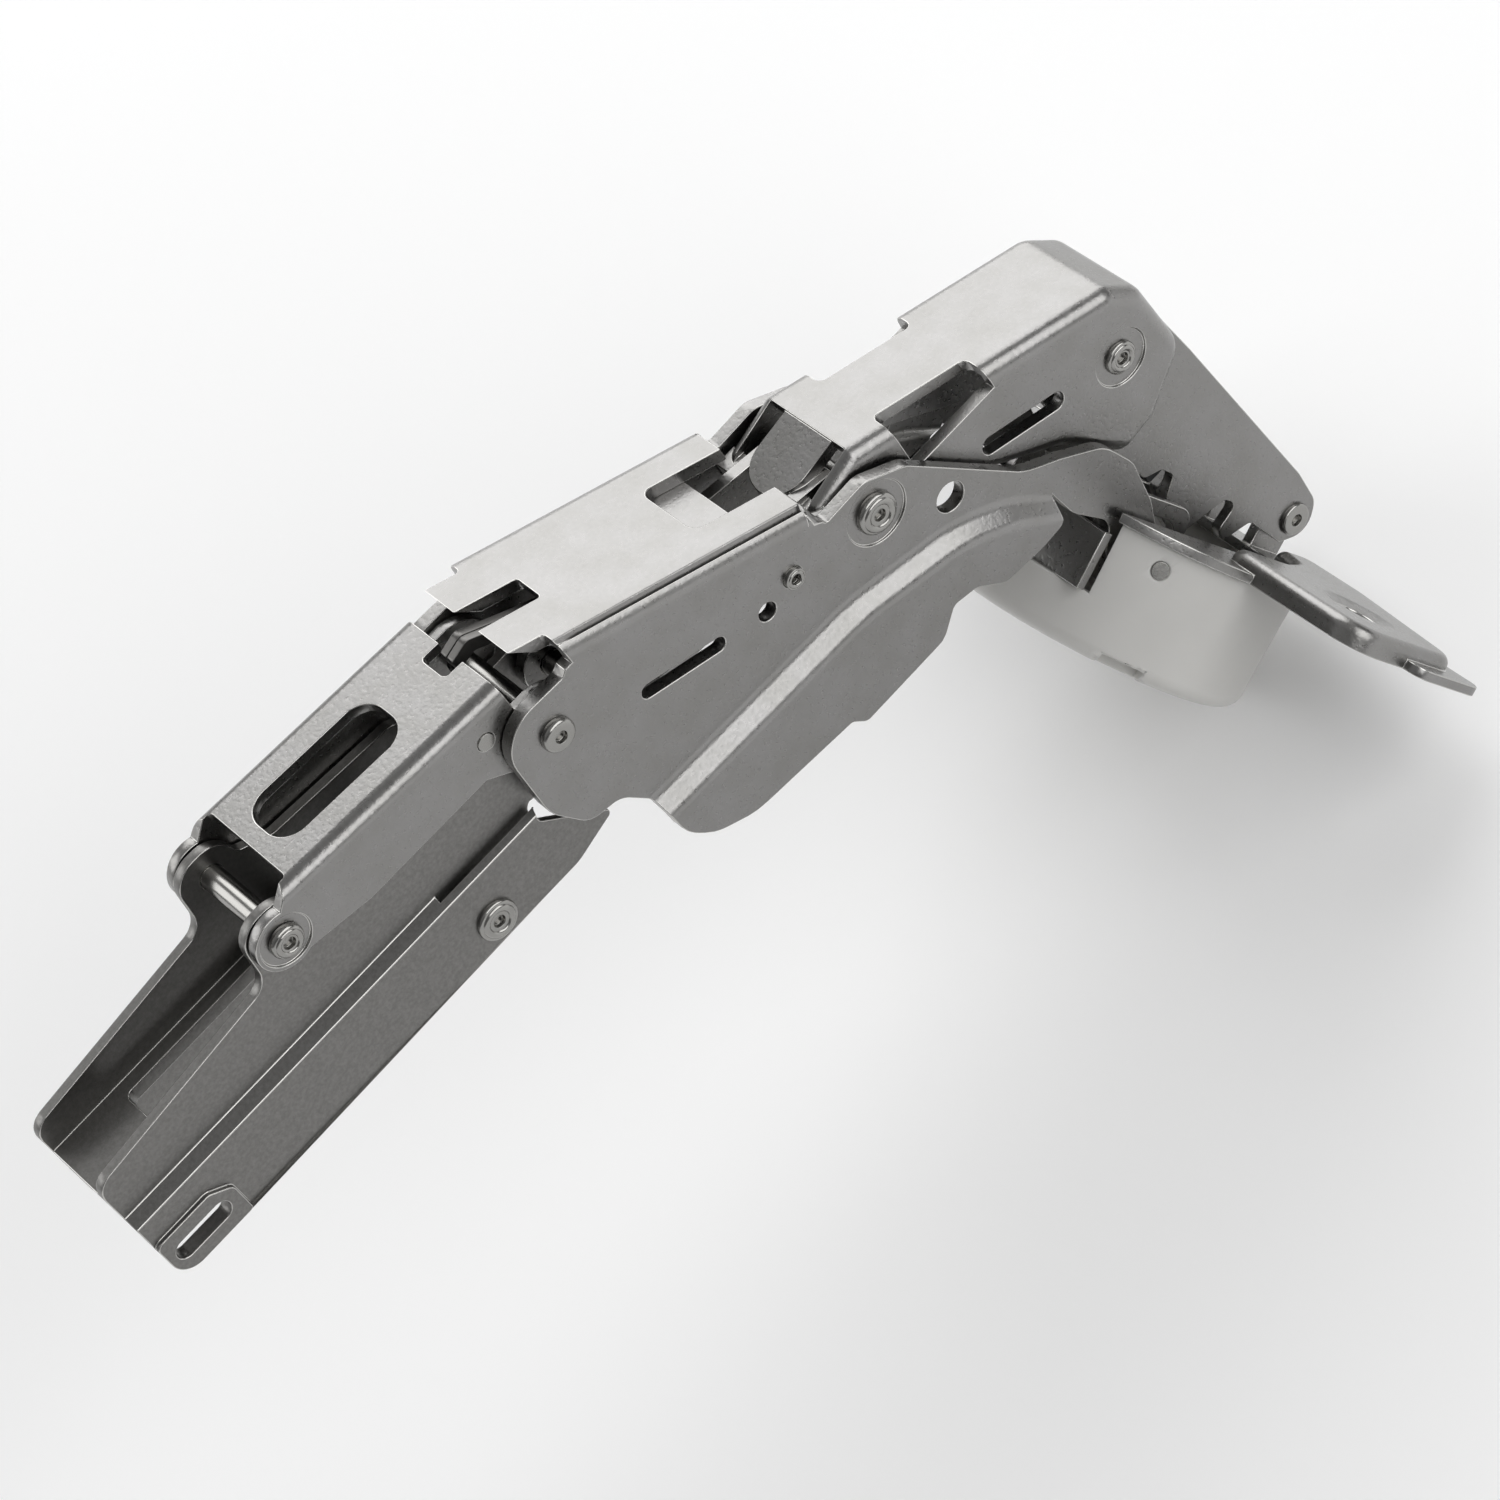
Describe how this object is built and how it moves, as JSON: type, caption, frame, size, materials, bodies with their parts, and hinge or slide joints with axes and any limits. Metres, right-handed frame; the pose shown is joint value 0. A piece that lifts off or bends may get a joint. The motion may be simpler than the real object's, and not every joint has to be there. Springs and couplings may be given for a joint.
{
  "type": "concealed hinge",
  "caption": "Wide-angle concealed cabinet hinge, fully open: channel arm for a mounting plate, folding scissor levers, and a round damped door cup with screw wings.",
  "frame": {"origin": "on the seat plane under the arm's skirts, mid-width, straight below the arm's rear pivot", "axes": "+X along the arm towards the door, +Z out of the cabinet side, +Y across the hinge by the right-hand rule"},
  "size_m": [0.1322, 0.0688, 0.0789],
  "materials": {
    "cast_zinc": "sand-textured nickel plate on die-cast zinc",
    "nickel_steel": "satin nickel plate on pressed steel",
    "bright_steel": "bright nickel-plated pins and rivets",
    "spring_steel": "dark spring steel",
    "white_plastic": "milky moulded plastic",
    "black_plastic": "black moulded plastic",
    "damper_steel": "drawn tube"
  },
  "bodies": {
    "arm": {"hinge_arm": "cast_zinc", "arm_rear_pin": "bright_steel", "arm_front_pin": "bright_steel", "plate_hook_rivet": "bright_steel"},
    "box_link": {"box_link": "nickel_steel", "link_stop_rivets": "bright_steel"},
    "main_lever": {"main_lever": "nickel_steel", "lever_rear_pin": "bright_steel", "crossing_rivet": "bright_steel", "side_rivets": "bright_steel", "finger_pin": "bright_steel", "spring_plate": "nickel_steel", "leaf_spring_near": "spring_steel", "leaf_spring_far": "spring_steel"},
    "inner_lever": {"inner_lever": "nickel_steel", "cup_link_rivet": "bright_steel"},
    "cup_link": {"cup_link": "nickel_steel", "buffer_block": "black_plastic", "cup_pin": "bright_steel"},
    "cup": {"cup_flange": "nickel_steel", "pivot_bracket": "spring_steel", "damper_housing": "white_plastic", "damper_cartridge_inner": "damper_steel", "damper_cartridge_outer": "damper_steel", "bracket_pegs": "bright_steel"}
  },
  "joints": [
    {"name": "link_swing", "type": "hinge", "parent": "arm", "child": "box_link", "pos_m": [0, 0, 0.021], "axis": [0, -1, 0], "range_deg": [0, 117.4]},
    {"name": "lever_pivot", "type": "hinge", "parent": "box_link", "child": "main_lever", "pos_m": [0.0298, 0, 0.0162], "axis": [0, -1, 0], "range_deg": [-118.4, 0]},
    {"name": "scissor_pivot", "type": "hinge", "parent": "main_lever", "child": "inner_lever", "pos_m": [0.0656, 0, 0.0056], "axis": [0, -1, 0], "range_deg": [0, 118.4]},
    {"name": "link_pivot", "type": "hinge", "parent": "inner_lever", "child": "cup_link", "pos_m": [0.0944, 0, -0.0065], "axis": [0, -1, 0], "range_deg": [-105.1, 0]},
    {"name": "cup_pivot", "type": "hinge", "parent": "cup_link", "child": "cup", "pos_m": [0.1022, 0, -0.0444], "axis": [0, -1, 0], "range_deg": [0, 142.7]}
  ],
  "couplings": [
    {"joint": "lever_pivot", "follows": "link_swing", "ratio": -1},
    {"joint": "scissor_pivot", "follows": "link_swing", "ratio": 1},
    {"joint": "link_pivot", "follows": "link_swing", "ratio": -0.88671},
    {"joint": "cup_pivot", "follows": "link_swing", "ratio": 1.207}
  ]
}
